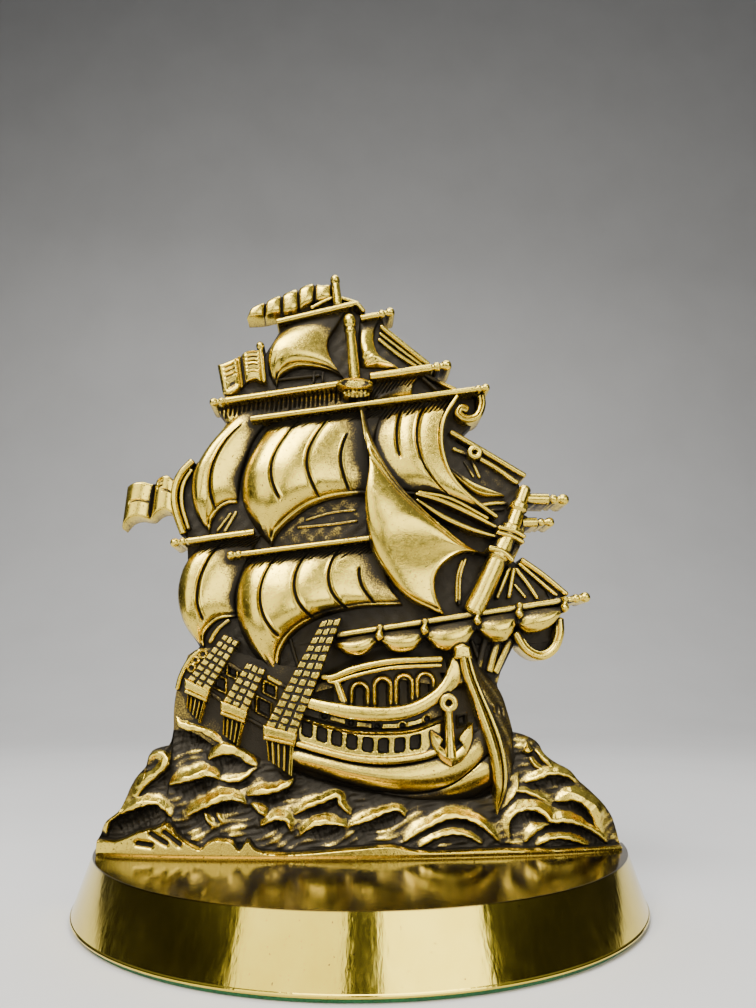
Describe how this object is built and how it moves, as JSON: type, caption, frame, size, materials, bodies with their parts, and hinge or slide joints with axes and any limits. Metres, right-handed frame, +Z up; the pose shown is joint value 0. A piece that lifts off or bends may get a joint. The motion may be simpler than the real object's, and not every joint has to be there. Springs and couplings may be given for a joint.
{
  "type": "bookend",
  "caption": "Heavy brass bookend: a cast relief of a sailing galleon on waves, standing on the back edge of a polished half-round base with a baize underside.",
  "frame": {"origin": "on the surface it stands on, under the middle of its bounding box", "axes": "+Z up; -Y towards the viewer of the ship, +Y out of the flat back; +X to the viewer's right, the way the bows point"},
  "size_m": [0.1236, 0.054, 0.148],
  "materials": {
    "antique_brass": "antiqued cast brass: dark brown-black recesses, buffed warm gold high points",
    "polished_brass": "mirror-polished turned brass with fine handling scratches",
    "green_baize": "short-pile green wool baize",
    "plated_steel": "zinc-plated machine screws"
  },
  "bodies": {
    "root": {"galleon_casting": "antique_brass", "base_plinth": "polished_brass", "baize_pad": "green_baize", "fixing_screws": "plated_steel"}
  },
  "joints": []
}
